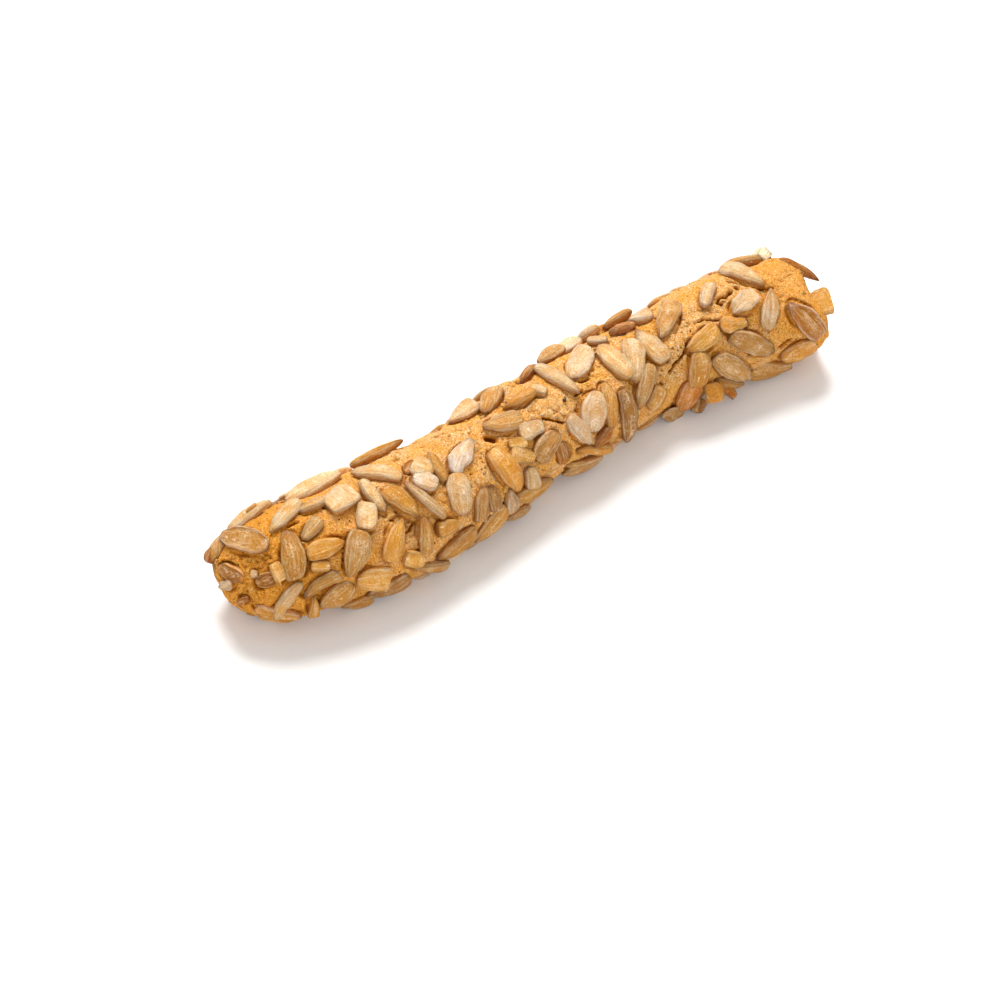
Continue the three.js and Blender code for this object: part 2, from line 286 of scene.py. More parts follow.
# the kernels that show from the front: the pixels of the tip and of the blunt end, the width that shows in
# mm, the look and the form
frontKernels = {
    "left end": [
        (218, 533, 266, 545, 5.5, "tan", "rimmed"),
        (226, 529, 272, 503, 3.1, "cream", "whole"),
        (238, 503, 255, 508, 2.2, "tan", "broken"),
        (269, 532, 300, 500, 3.7, "cream", "whole"),
        (298, 512, 326, 500, 2.0, "cream", "whole"),
        (284, 500, 341, 475, 5.0, "cream", "whole"),
        (302, 540, 320, 517, 3.4, "pink", "flush"),
        (327, 508, 355, 492, 5.4, "pale", "chunk"),
        (288, 530, 298, 580, 5.5, "tan", "whole"),
        (345, 541, 307, 555, 4.4, "gold", "whole"),
        (311, 566, 330, 566, 2.6, "yellow", "chunk"),
        (273, 563, 282, 581, 3.1, "yellow", "chunk"),
        (302, 596, 336, 572, 3.5, "tan", "broken"),
        (270, 619, 299, 583, 3.1, "cream", "whole"),
        (321, 607, 354, 585, 4.8, "tan", "round"),
        (315, 596, 313, 615, 2.6, "gold", "broken"),
        (343, 613, 374, 600, 3.0, "tan", "whole"),
        (251, 574, 258, 574, 1.8, "pale", "chunk"),
        (208, 547, 211, 563, 2.0, "toasted", "whole"),
        (219, 537, 216, 559, 3.9, "tan", "whole"),
        (214, 565, 240, 579, 3.7, "hollow", "socket"),
        (255, 584, 276, 577, 3.5, "hollow", "socket"),
        (302, 617, 254, 612, 3.5, "gold", "rimmed"),
        (220, 587, 234, 583, 2.4, "pale", "flake"),
        (238, 603, 249, 598, 1.5, "toasted", "chunk"),
    ],
    "left half": [
        (402, 433, 350, 466, 2.6, "gold", "whole"),
        (351, 471, 403, 474, 3.5, "cream", "whole"),
        (385, 511, 360, 480, 3.1, "cream", "whole"),
        (421, 516, 384, 487, 4.4, "ochre", "smooth"),
        (404, 481, 446, 518, 2.4, "cream", "whole"),
        (412, 477, 438, 486, 4.2, "white", "round"),
        (434, 473, 412, 464, 4.6, "cream", "whole"),
        (405, 471, 416, 459, 3.3, "hollow", "socket"),
        (427, 452, 446, 480, 2.8, "tan", "whole"),
        (471, 439, 452, 473, 4.6, "white", "rough"),
        (464, 516, 455, 473, 5.2, "cream", "round"),
        (484, 487, 479, 521, 3.1, "grey", "half"),
        (367, 503, 366, 530, 4.8, "cream", "chunk"),
        (351, 578, 362, 530, 5.5, "grey", "whole"),
        (403, 517, 388, 562, 4.4, "gold", "whole"),
        (425, 517, 426, 554, 3.3, "tan", "half"),
        (404, 557, 424, 561, 3.7, "yellow", "chunk"),
        (437, 530, 457, 524, 3.3, "gold", "chunk"),
        (438, 560, 476, 529, 3.7, "tan", "whole"),
        (412, 570, 448, 562, 2.8, "grey", "whole"),
        (357, 580, 389, 577, 5.3, "yellow", "half"),
        (368, 597, 410, 577, 5.5, "dusky", "whole"),
        (474, 543, 508, 507, 3.5, "tan", "whole"),
    ],
    "middle": [
        (449, 422, 477, 402, 4.4, "cream", "rough"),
        (482, 412, 498, 388, 4.2, "tan", "whole"),
        (518, 382, 536, 368, 2.0, "toasted", "whole"),
        (503, 409, 537, 391, 2.0, "gold", "whole"),
        (531, 388, 547, 393, 2.6, "cream", "chunk"),
        (582, 390, 530, 366, 3.1, "cream", "whole"),
        (590, 432, 597, 391, 5.7, "pale", "round"),
        (612, 430, 606, 382, 3.5, "gold", "whole"),
        (592, 444, 569, 417, 3.7, "pale", "whole"),
        (557, 431, 536, 460, 5.0, "grey", "whole"),
        (519, 434, 543, 426, 3.8, "pale", "chunk"),
        (508, 445, 526, 443, 2.8, "yellow", "chunk"),
        (510, 453, 535, 459, 3.5, "yellow", "chunk"),
        (522, 490, 493, 449, 5.2, "gold", "whole"),
        (562, 443, 568, 463, 3.7, "hollow", "socket"),
        (578, 453, 613, 445, 2.2, "gold", "whole"),
        (594, 447, 611, 426, 2.6, "toasted", "whole"),
        (566, 468, 587, 460, 1.8, "gold", "broken"),
        (563, 477, 602, 459, 2.8, "grey", "whole"),
        (535, 492, 529, 468, 3.7, "cream", "round"),
        (552, 478, 515, 502, 3.3, "tan", "whole"),
        (491, 484, 497, 511, 3.5, "dusky", "rough"),
        (511, 489, 511, 513, 3.1, "cream", "rimmed"),
        (506, 522, 528, 504, 2.2, "grey", "whole"),
        (483, 428, 523, 419, 4.6, "pink", "whole"),
        (563, 400, 566, 400, 0.7, "burnt", "chunk"),
    ],
    "right half": [
        (538, 362, 561, 344, 3.3, "tan", "whole"),
        (556, 357, 580, 339, 3.7, "pale", "round"),
        (573, 378, 588, 346, 5.5, "pale", "dished"),
        (576, 338, 599, 328, 2.0, "cream", "whole"),
        (587, 342, 607, 340, 2.0, "cream", "chunk"),
        (597, 345, 632, 376, 4.6, "cream", "whole"),
        (600, 324, 632, 312, 2.4, "tan", "whole"),
        (608, 333, 635, 325, 2.6, "orange", "rough"),
        (628, 322, 653, 314, 3.1, "pale", "whole"),
        (637, 383, 632, 338, 5.2, "cream", "whole"),
        (634, 329, 667, 360, 4.4, "cream", "whole"),
        (661, 338, 673, 300, 5.0, "grey", "whole"),
        (637, 410, 652, 364, 3.7, "grey", "whole"),
        (650, 409, 661, 387, 3.5, "tan", "chunk"),
        (631, 445, 627, 388, 3.9, "dusky", "whole"),
        (684, 414, 691, 379, 4.8, "orange", "smooth"),
        (662, 411, 684, 406, 4.6, "grey", "flake"),
        (698, 388, 701, 352, 5.2, "tan", "round"),
        (689, 352, 718, 328, 4.6, "gold", "whole"),
        (716, 402, 711, 383, 4.6, "gold", "proudChunk"),
        (697, 413, 701, 399, 3.2, "dusky", "proudChunk"),
        (735, 397, 722, 386, 2.6, "orange", "proudChunk"),
    ],
    "right end": [
        (756, 381, 713, 356, 5.2, "grey", "rough"),
        (744, 383, 716, 381, 2.4, "tan", "whole"),
        (776, 352, 731, 336, 4.8, "grey", "whole"),
        (747, 323, 720, 326, 3.7, "gold", "rough"),
        (732, 312, 756, 292, 4.8, "pale", "rough"),
        (704, 308, 711, 283, 3.1, "pale", "rough"),
        (767, 281, 720, 267, 3.5, "cream", "whole"),
        (771, 260, 720, 258, 2.4, "tan", "whole"),
        (731, 252, 744, 248, 1.5, "tan", "chunk"),
        (752, 251, 761, 247, 2.4, "floury", "crumble"),
        (759, 250, 770, 247, 2.6, "floury", "crumble"),
        (755, 245, 763, 242, 1.7, "floury", "crumble"),
        (819, 280, 779, 256, 2.4, "toasted", "proud"),
        (812, 306, 836, 298, 5.6, "yellow", "proudChunk"),
        (790, 303, 823, 336, 5.2, "orange", "rimmed"),
        (772, 288, 768, 330, 3.7, "cream", "split"),
        (780, 359, 816, 343, 3.9, "gold", "whole"),
        (791, 364, 750, 374, 4.2, "tan", "whole"),
        (776, 381, 791, 367, 1.3, "orange", "chunk"),
    ],
}

# face, edge and tip of each look of kernel, from how long the oven reached it
kernelLooks = {
    "white": ("#d6cdc3", "#cfa35d", "#70481c"),
    "pale": ("#d6c4a8", "#d6a04f", "#a86417"),
    "cream": ("#ceb994", "#cc943c", "#a25f17"),
    "pink": ("#c6a168", "#b8822f", "#814e16"),
    "grey": ("#c29a5c", "#aa7120", "#814c0f"),
    "tan": ("#bb8d3e", "#b5751c", "#8d4f0c"),
    "gold": ("#d09a3c", "#c98218", "#9a560a"),
    "orange": ("#b9761e", "#ae6009", "#864601"),
    "ochre": ("#bd8726", "#b67211", "#854400"),
    "yellow": ("#d6a659", "#c78b21", "#b86d11"),
    "dusky": ("#a77732", "#925c16", "#6e3f0a"),
    "toasted": ("#a8680f", "#985408", "#673501"),
    "hollow": ("#9c600c", "#c78128", "#8b4e0b"),
    "floury": ("#fff0d4", "#ffe2b2", "#f2c480"),
    "burnt": ("#14100e", "#14100e", "#14100e"),
}
linearLooks = {name: [linear(c) for c in three] for name, three in kernelLooks.items()}

kernelForm = {
    "thickness": 2.7,
    "widest": 6.4,
    "narrowest": 2.4,
    "narrowestCrumb": 0.5,
    "longest": 13.5,
    "mesh": {"kernel": (30, 36), "crumb": (14, 22), "bit": (7, 10)},  # rings, and points round each
    "topShare": 0.62,  # of the points round a kernel
    # how slowly the tip and the blunt end widen, from above and from the side
    "ends": ((0.42, 0.64), (0.24, 0.36)),
    "roundEnds": ((0.34, 0.42), (0.32, 0.4)),
    "halfEnds": (0.34, 0.36),
    "sideEnds": (0.48, 0.34),
    "neck": (-0.12, 0.28),  # how much narrower it is by the tip
    "lopsided": 0.06,
    "corner": (0.56, 0.76),  # how square across it is: less is squarer
    "crumbCorner": 0.3,
    "crumbEnd": 0.15,
    "crumbNarrowing": 0.5,
    "brokenAt": (0.66, 0.8),  # where along it a broken or halved one ends
    "brokenSlant": 0.3,
    "crease": (0.0, 0.3),  # depths in mm
    "creasePlace": 0.45,  # how far from the middle, how much it leans, and how wide it is
    "creaseLean": 0.3,
    "creaseWidth": (0.09, 0.15),
    "fold": 0.5,
    "rim": 0.12,
    "dish": (-0.1, 0.2),
    "bowl": {"rimmed": 0.55, "socket": 0.3},  # how deep a cupped kernel is hollowed
    "twist": 0.16,
    "sideBend": 0.012,
    "sharpFrom": 62,  # edges sharper than this many degrees stay sharp
    "lean": 0.4,  # how far those on the outline turn to the front
    "standing": 0.8,  # and how far they may stand out from it
    "levelling": 0.75,  # how much of its slope against the crust is taken out
    "steepest": 1.6,  # and how few pixels a foreshortened mm may take
    "spread": (0.88, 1.12),  # of the thicknesses
    "crumbThickness": (0.8, 0.3),  # at most this share of the width that shows, and this much more in mm
    "shownWidth": (0.3, 0.26),  # the least of it that is its top, and the least that a turned mm shows
    "wobble": 0.3,  # of the outline
    "lumps": (0.2, 3.4),  # height and spacing
    "wrinkles": (0.1, 1.2),
    "roughness": {"rough": 2.2, "chunk": 1.3, "proudChunk": 2.0, "crumble": 3.5, "smooth": 0.45},
    "grainRadius": 2.45,  # of the round bar that the skin's fibres are laid on
}
crumbForms = ("chunk", "proudChunk", "crumble", "bit")
proudForms = ("proud", "proudChunk", "crumble")


# one kernel as the front shows it: its place and its directions on the stick, and its true size
def kernelFromPixels(row, dice):
    tipU, tipV, bluntU, bluntV, seenWidth, look, form = row
    standing = kernelForm["standing"]
    tip, _ = seenPoint(tipU, tipV, bedTree, standing)
    blunt, _ = seenPoint(bluntU, bluntV, bedTree, standing)
    if form in proudForms:  # it stands out from the outline, level with where its blunt end is held
        bluntDepth = (blunt - cameraPlace) @ cameraForward
        ray = pixelRay(tipU, tipV)
        tip = cameraPlace + ray * bluntDepth / (ray @ cameraForward)
        middle = (tip + blunt) / 2
        along = unit(blunt - tip)
        normal = unit(np.array([0, 0, 0.5]) - cameraForward)
    else:
        middle, normal = seenPoint((tipU + bluntU) / 2, (tipV + bluntV) / 2, bedTree, standing)
        normal = unit(normal - cameraForward * kernelForm["lean"] * (1 + normal @ cameraForward))
        run = blunt - tip
        along = unit(run - normal * (run @ normal) * kernelForm["levelling"])
    across = unit(np.cross(normal, along))
    up = np.cross(along, across)
    thickness = kernelForm["thickness"] * dice.uniform(*kernelForm["spread"])
    start = toPixel(middle)
    alongSeen = toPixel(middle + along) - start
    pixelsLong = np.linalg.norm(alongSeen)
    length = math.hypot(bluntU - tipU, bluntV - tipV) / max(pixelsLong, kernelForm["steepest"])
    side = np.array([-alongSeen[1], alongSeen[0]]) / max(pixelsLong, 1e-6)
    acrossSeen, upSeen = (abs((toPixel(middle + way) - start) @ side) / camera["pixelsPerMm"]
                          for way in (across, up))
    if form in crumbForms or form in ("broken", "half", "flake", "proud"):
        share, more = kernelForm["crumbThickness"]
        thickness = min(thickness, share * seenWidth + more)
    leastShare, leastSeen = kernelForm["shownWidth"]
    spare = max(seenWidth ** 2 - (thickness * upSeen) ** 2, (leastShare * seenWidth) ** 2)
    narrowest = kernelForm["narrowestCrumb" if form in crumbForms + proudForms else "narrowest"]
    width = math.sqrt(spare) / max(acrossSeen, leastSeen)
    return {
        "middle": middle, "along": along, "across": across, "up": up,
        "length": min(length, kernelForm["longest"]),
        "width": float(np.clip(width, narrowest, kernelForm["widest"])),
        "thickness": thickness, "look": look, "form": form,
    }


dice = np.random.default_rng(11)
kernels = [kernelFromPixels(row, dice) for rows in frontKernels.values() for row in rows]
print("front kernels placed:", len(kernels))

# the kernels that the front doesn't show, scattered like those that it does
scatter = {
    "tries": 9000,
    "length": 10.4,
    "spacing": 0.52,  # how near two may be, as a share of both their half lengths
    "gap": 0.9,  # and this much more, in mm
    "front": (-0.3, -0.12),  # how squarely places face the camera where they lie deeper, and are left out
    # places left bare: pixel and reach
    "bare": [(835, 325, 22), (822, 345, 20), (800, 358, 14),
             (808, 298, 16), (236, 598, 14), (206, 588, 19)],
    "sink": 0.7,  # how much deeper
    "sizes": (0.8, 1.14),
    "widths": (4.9, 6.2),
    "thicknesses": (0.85, 1.15),
    "tilt": 0.12,
    # length, width and thickness of the smaller forms, as shares of a whole kernel's
    "shares": {"chunk": (0.4, 0.7, 0.7), "broken": (0.62, 1, 1), "half": (0.62, 1, 1),
               "round": (0.82, 1, 1)},
    "sole": 0.55,  # half the sole's width as an angle: kernels on it are baked flush
    # how much of each look and form there is
    "looks": {"cream": 0.22, "grey": 0.16, "tan": 0.17, "gold": 0.13, "pale": 0.11, "pink": 0.04,
              "orange": 0.05, "dusky": 0.05, "toasted": 0.02, "white": 0.02, "yellow": 0.03},
    "forms": {"whole": 0.45, "broken": 0.09, "half": 0.08, "rimmed": 0.06, "split": 0.03, "chunk": 0.09,
              "flake": 0.02, "round": 0.07, "rough": 0.07, "smooth": 0.04},
}


def drawn(dice, shares):
    return str(dice.choice(list(shares), p=list(shares.values())))


def scatteredKernels(dice):
    made = []
    for _ in range(scatter["tries"]):
        station, around = dice.uniform(0.0, 1.0), dice.uniform(0, fullTurn)
        turn, size = dice.uniform(0, fullTurn), dice.uniform(*scatter["sizes"])
        look, form = drawn(dice, scatter["looks"]), drawn(dice, scatter["forms"])
        width, height = dice.uniform(*scatter["widths"]), dice.uniform(*scatter["thicknesses"])
        tilt = dice.normal(0, scatter["tilt"])
        _, share = outlineAt(np.array(station))
        if dice.uniform(0, 1) > share:
            continue
        near, normal, _, _ = bedTree.find_nearest(Vector(crustAt(np.array(station), np.array(around))))
        middle, normal = np.array(near), np.array(normal)
        facing = -normal @ cameraForward
        deeper, none = scatter["front"]
        if facing > none:
            continue
        u, v = toPixel(middle)
        if any(math.hypot(u - bareU, v - bareV) < reach for bareU, bareV, reach in scatter["bare"]):
            continue
        lengthShare, widthShare, heightShare = scatter["shares"].get(form, (1, 1, 1))
        length = scatter["length"] * size * lengthShare
        width, height = width * widthShare, height * heightShare
        if not all(np.linalg.norm(other["middle"] - middle) >
                   scatter["spacing"] * (other["length"] + length) / 2 + scatter["gap"]
                   for other in kernels + made):
            continue
        level = unit(np.cross(normal, [1, 0, 0.001]))
        forward = np.cross(level, normal)
        along = unit(forward * math.cos(turn) + level * math.sin(turn) + normal * tilt)
        across = unit(np.cross(normal, along))
        if abs(around - math.pi) < scatter["sole"]:
            form = "flush"
        if facing > deeper:
            middle = middle - normal * scatter["sink"]
        made.append({
            "middle": middle, "along": along, "across": across, "up": np.cross(along, across),
            "length": length, "width": width * size, "thickness": kernelForm["thickness"] * height,
            "look": look, "form": form,
        })
    return made


kernels += scatteredKernels(np.random.default_rng(5))
print("kernels and crumbs in all:", len(kernels))

# how far some forms' middles lie above their bed, as a share of their thickness
formLift = {"flake": 0.25, "flush": -0.3, "socket": -0.42, "proud": 0.35, "proudChunk": 0.1, "crumble": 0.1}
for kernel in kernels:
    lift = formLift.get(kernel["form"], 0) * kernel["thickness"]
    kernel["middle"] = kernel["middle"] + kernel["up"] * lift
    crosswise = 1 - kernel["along"][0] ** 2
    kernel["bend"] = 0 if kernel["form"] in proudForms else 0.5 * crosswise / (dough["radius"] * 2)


def meshOf(form):
    return kernelForm["mesh"]["bit" if form == "bit" else "crumb" if form in crumbForms else "kernel"]


# half widths along a teardrop, as shares of the widest
def teardrop(s, tipPower, bluntPower):
    peak = tipPower / (tipPower + bluntPower)
    return s ** tipPower * (1 - s) ** bluntPower / (peak ** tipPower * (1 - peak) ** bluntPower)


# a kernel's x, y and z from its outlines from above and from the side, how far across each point lies from
# -1 to 1, how far in over its broken face, and where along it that face is
def kernelOutline(kernel, s, cosine, sine, dice):
    form = kernel["form"]
    cut = dice.uniform(*kernelForm["brokenAt"]) if form in ("broken", "half") else 1.0
    held = np.minimum(s, cut)
    past = np.where(s > cut, (s - cut) / max(1 - cut, 1e-6), 0)
    lopsided = dice.uniform(-kernelForm["lopsided"], kernelForm["lopsided"]) * np.sign(cosine)
    tipPower, bluntPower = (dice.uniform(*powers) for powers in kernelForm["ends"])
    neck = dice.uniform(*kernelForm["neck"])
    if form in ("round", "dished"):
        tipPower, bluntPower = (dice.uniform(*powers) for powers in kernelForm["roundEnds"])
    if form == "half":
        tipPower, bluntPower = kernelForm["halfEnds"]
    if form in ("round", "dished", "half"):
        neck = 0
    corner = dice.uniform(*kernelForm["corner"])
    widthShare = teardrop(held, tipPower + lopsided, bluntPower + lopsided / 2)
    widthShare = widthShare * (1 - neck * hump(held - 0.12, 0.09))
    depthShare = teardrop(held, *kernelForm["sideEnds"])
    if form in crumbForms:
        corner = kernelForm["crumbCorner"]
        narrowing = dice.uniform(-kernelForm["crumbNarrowing"], kernelForm["crumbNarrowing"])
        widthShare = np.clip(4 * s * (1 - s), 0, 1) ** kernelForm["crumbEnd"] * (1 + narrowing * (s - 0.5))
        depthShare = widthShare
    widthShare, depthShare = widthShare * (1 - past), depthShare * (1 - past)
    over = np.sign(cosine) * np.abs(cosine) ** np.where(sine > 0, corner, 1.1)
    edgePlace = np.stack([s * kernel["length"] + dice.uniform(0, 90), np.sign(cosine) * 7, s * 0], -1)
    wobble = softNoise(edgePlace.reshape(-1, 3), 2.6, 8).reshape(s.shape) * kernelForm["wobble"]
    y = widthShare * (kernel["width"] / 2 + wobble * min(1, kernel["width"] / 4)) * over
    z = depthShare * kernel["thickness"] / 2 * np.sign(sine)
    z = z * np.abs(sine) ** np.where(sine > 0, corner * 0.9, 1)
    x = kernel["length"] / cut * held - kernel["length"] / 2
    slant = dice.uniform(-kernelForm["brokenSlant"], kernelForm["brokenSlant"])
    x = x + slant * y * ease(cut - 0.2, cut, held) * (cut < 1)
    return x, y, z, over, past, cut


# how high the creases, ridges and rim of a kernel's top stand, and where its bowl is
def topRelief(kernel, s, over, top, past, dice):
    form = kernel["form"]
    onTop = ease(0.0, 0.3, top) * ease(0.05, 0.3, s) * ease(0.99, 0.8, s) * (1 - past)
    creaseAt, creaseLean = (dice.uniform(-kernelForm[most], kernelForm[most])
                            for most in ("creasePlace", "creaseLean"))
    crease = hump(over - creaseAt - creaseLean * (s - 0.5), dice.uniform(*kernelForm["creaseWidth"]))
    crease = crease * dice.uniform(*kernelForm["crease"]) * ease(0.1, 0.35, s)
    fold = 0.25 - np.abs(over + creaseAt + creaseLean * (s - 0.5))
    fold = fold * dice.uniform(0, kernelForm["fold"]) * min(1, kernel["width"] / 5)
    dish = (1 - over ** 2) ** 2 * dice.uniform(*kernelForm["dish"])
    rim = hump(np.abs(over) - 0.8, 0.14) * kernelForm["rim"]
    bowl = np.zeros_like(s)
    if form in kernelForm["bowl"]:
        bowl = ease(0.08, 0.24, s) * ease(0.99, 0.86, s) * ease(0.9, 0.66, np.abs(over)) * ease(0, 0.4, top)
    if form == "dished":
        dish = dish + 0.45 * hump(over, 0.5) * hump(s - 0.6, 0.25)
    if form == "split":
        crease = hump(over, 0.13) * ease(0.1, 0.5, s) * 0.9
    if form == "smooth":
        crease, fold, rim = crease * 0.2, fold * 0.5, rim * 0.3
    if form in crumbForms:
        dish, rim = dish * 0.3, rim * 0
    return onTop * (fold + rim - crease - dish), bowl


# a kernel's points with lumps, wrinkles and bends, and the place in the noise that they come from
def unevenPoints(kernel, points, broken, dice):
    form = kernel["form"]
    place = points + dice.uniform(-60, 60, 3)
    outward = points * [0.25, 1, 1]
    outward = outward / (np.linalg.norm(outward, axis=1, keepdims=True) + 1e-6)
    size = min(1, kernel["width"] / 4)
    rough = kernelForm["roughness"].get(form, 1) * size
    height, spacing = kernelForm["lumps"]
    swell = height * rough * softNoise(place, spacing)
    height, spacing = kernelForm["wrinkles"]
    swell = swell + height * rough * softNoise(place * [0.3, 1, 1], spacing, 1)
    swell = swell + 0.4 * height * softNoise(place * [0.12, 1, 1], spacing / 2, 2)
    if form in ("rough", "proudChunk", "crumble"):
        swell = swell + 0.16 * lumpNoise(place, 1.7, 6)
    points = points + outward * swell[:, None]
    points[:, 0] += softNoise(place, 1.1, 3) * 0.3 * np.minimum(broken * 4, 1)
    points[:, 1] += dice.normal(0, kernelForm["sideBend"]) * points[:, 0] ** 2
    points[:, 2] -= kernel["bend"] * points[:, 0] ** 2
    if form == "flake":  # thin, ragged, curled across and wavy
        points[:, 1] *= 1 + 0.25 * softNoise(place, 2.2, 7)
        points[:, 2] = points[:, 2] * 0.2 + 0.07 * points[:, 1] ** 2 + 0.35 * softNoise(place, 3.5, 4)
    return points, place


# one kernel about its own middle, with its tip at -X, its blunt end at +X and its top up: its points, where
# they lie on the grain of its skin, how pale its rim is, partly rubbed skin and partly painted highlight,
# and their colours
def kernelShape(kernel, dice):
    rings, around = meshOf(kernel["form"])
    s, turn = np.meshgrid(np.arange(1, rings + 1) / (rings + 1), np.arange(around) / around, indexing="ij")
    s = (1 - np.cos(math.pi * s)) / 2
    share = kernelForm["topShare"]
    a = math.pi * np.where(turn < share, turn / share, 1 + (turn - share) / (1 - share))
    cosine, sine = np.cos(a), np.sin(a)
    top = np.clip(sine, 0, 1)
    x, y, z, over, past, cut = kernelOutline(kernel, s, cosine, sine, dice)
    relief, bowl = topRelief(kernel, s, over, top, past, dice)
    z = z + relief - bowl * kernelForm["bowl"].get(kernel["form"], 0)
    twist = dice.normal(0, kernelForm["twist"]) * (2 * s - 1) * (kernel["form"] not in crumbForms)
    y, z = y * np.cos(twist) - z * np.sin(twist), y * np.sin(twist) + z * np.cos(twist)

    # the rings, and a point at each end
    halfLong = kernel["length"] / 2
    points = np.stack([x, y, z], -1).reshape(-1, 3)
    points = np.concatenate([[[-halfLong, 0, 0]], points, [[halfLong, 0, 0]]])
    bar = np.stack([cosine, sine], -1).reshape(-1, 2) * kernelForm["grainRadius"]
    bar = np.concatenate([[[0, 0]], bar, [[0, 0]]])
    station = np.concatenate([[0], s.ravel(), [1]])
    top, bowl = (np.concatenate([[0], part.ravel(), [0]]) for part in (top, bowl))
    broken = np.concatenate([[0], past.ravel(), [1 if cut < 1 else 0]])

    points, place = unevenPoints(kernel, points, broken, dice)
    grain = np.column_stack([points[:, 0], bar]) + dice.uniform(-400, 400, 3)
    # painted highlight along the rim, with the paler skin there
    rubbedAndHighlit = (hump(top - 0.48, 0.12) * ease(0.02, 0.12, station))[:, None]
    return points, grain, rubbedAndHighlit, kernelColour(kernel, station, top, bowl, broken, place, dice)


# how a kernel's parts differ in tone
kernelTone = {
    "sides": (1.04, 0.8, 0.24),  # browner than its face by this much red, green and blue: partly browner skin, partly painted shade on the side walls
    "sideShare": 0.64,
    "rimShade": (0.8, 0.22),  # how dark the line under the rim is, and how strong
    "hollow": 0.95,
    "broken": 0.5,  # how pale a broken end is
    "tipReach": (0.05, 0.12),
    "tipStrength": (0.35, 0.95),
    "spread": (0.9, 1.06),  # from one kernel to the next
    "hueSpread": (0.985, 1.015),
}


# a kernel's colour at each point: its face, rim, sides, tip, hollow and broken end, each a little
# different; the darker sides are partly painted shade
def kernelColour(kernel, station, top, bowl, broken, place, dice):
    face, edge, tip = linearLooks[kernel["look"]]
    form, pale = kernel["form"], linearLooks["pale"][0]
    hollow = face
    if form in ("rimmed", "socket"):
        face = edge if kernel["look"] == "hollow" else mixed(face, pale, 0.5)
        hollow = mixed(linearLooks[kernel["look"]][0], linearLooks["hollow"][0], 0.4)
    blotch = 0.5 + 0.5 * softNoise(place, 3.2, 5)
    tipReach = dice.uniform(*kernelTone["tipReach"])
    tipStrength = dice.uniform(*kernelTone["tipStrength"]) * (form not in crumbForms)
    colour = mixed(face, edge, blotch[:, None])
    side = mixed(edge, tip, 0.3) * kernelTone["sides"]
    shade, rimShare = kernelTone["rimShade"]
    # painted shade: the side walls darker and browner than the face
    colour = mixed(colour, side, (ease(0.3, 0.0, top) * kernelTone["sideShare"])[:, None])
    colour = mixed(colour, edge * shade, (hump(top - 0.72, 0.07) * rimShare)[:, None])
    colour = mixed(colour, hollow, (bowl * kernelTone["hollow"])[:, None])
    colour = mixed(colour, tip, (hump(station, tipReach) * tipStrength)[:, None])
    colour = mixed(colour, pale, (np.minimum(broken * 3, 1) * kernelTone["broken"])[:, None])
    colour = colour * dice.uniform(*kernelTone["spread"]) * dice.uniform(*kernelTone["hueSpread"], 3)
    return np.column_stack([np.clip(colour, 0, 1), np.ones(len(colour))])


# a kernel's points on the stick
def bedded(kernel, points):
    return (kernel["middle"] + points[:, :1] * kernel["along"] + points[:, 1:2] * kernel["across"]
            + points[:, 2:] * kernel["up"])


# adds a node with its settings, and links what feeds it
def node(tree, kind, inputs=None, **settings):
    made = tree.nodes.new(kind)
    for name, value in settings.items():
        setattr(made, name, value)
    for name, value in (inputs or {}).items():
        if isinstance(value, bpy.types.NodeSocket):
            tree.links.new(value, made.inputs[name])
        else:
            made.inputs[name].default_value = value
    return made


def rgba(hexColour):
    return (*linear(hexColour), 1)


def newMaterial(name):
    material = bpy.data.materials.new(name)
    material.use_nodes = True
    tree = material.node_tree
    return material, tree, tree.nodes["Principled BSDF"]


# lays coats of colour over each other, cuts relief with depths in mm, and sets what is the same all over
def finishSkin(tree, shader, colour, coats, cuts, settings):
    for kind, amount, over in coats:
        colour = node(tree, "ShaderNodeMixRGB", {"Fac": amount, "Color1": colour, "Color2": over},
                      blend_type=kind, use_clamp=True).outputs["Color"]
    tree.links.new(colour, shader.inputs["Base Color"])
    normal = None
    for height, depth, inverted in cuts:
        inputs = {"Height": height, "Strength": 1, "Distance": depth * mm}
        if normal:
            inputs["Normal"] = normal
        normal = node(tree, "ShaderNodeBump", inputs, invert=inverted).outputs["Normal"]
    tree.links.new(normal, shader.inputs["Normal"])
    for socket, value in settings.items():
        shader.inputs[socket].default_value = value


# what the oven made of the crust: colours, and sizes in mm
crustFinish = {
    "golden": "#f7b859",
    "pale": "#fbcc8d",
    "torn": "#f9cb81",
    "amber": "#eca236",
    # painted shade in pits, cracks, pinholes and gaps, and in the deepest of them
    "hollow": "#cf7810",
    "deep": "#5c2803",
    "grainHollowShade": (0.89, 0.69, 0.39, 1),  # painted shade in the grain's hollows, warmer, and painted highlight on its tops, whiter
    "grainTopHighlight": (1.12, 1.26, 1.75, 1),
    "patch": 6.0,
    "mottle": 2.2,
    "crumb": 1.1,
    "granule": 0.62,
    "grain": 0.42,
    "dust": 0.3,  # real flour is finer, and is drawn as coarse as it needs to show
    "pinhole": 1.5,
    "stray": 1.2,  # how far the crumb pushes the granules about
    "relief": {"crumb": 0.32, "granule": 0.25, "grain": 0.5, "dust": 0.65, "pinhole": 0.35},
    "shader": {
        "Roughness": 0.75,
        "IOR": 1.45,
        "Specular IOR Level": 0.08,
        "Subsurface Weight": 0.12,
        "Subsurface Radius": (0.9, 0.4, 0.12),  # how far red, green and blue spread in the crumb
        "Subsurface Scale": 0.6 * mm,
    },
}
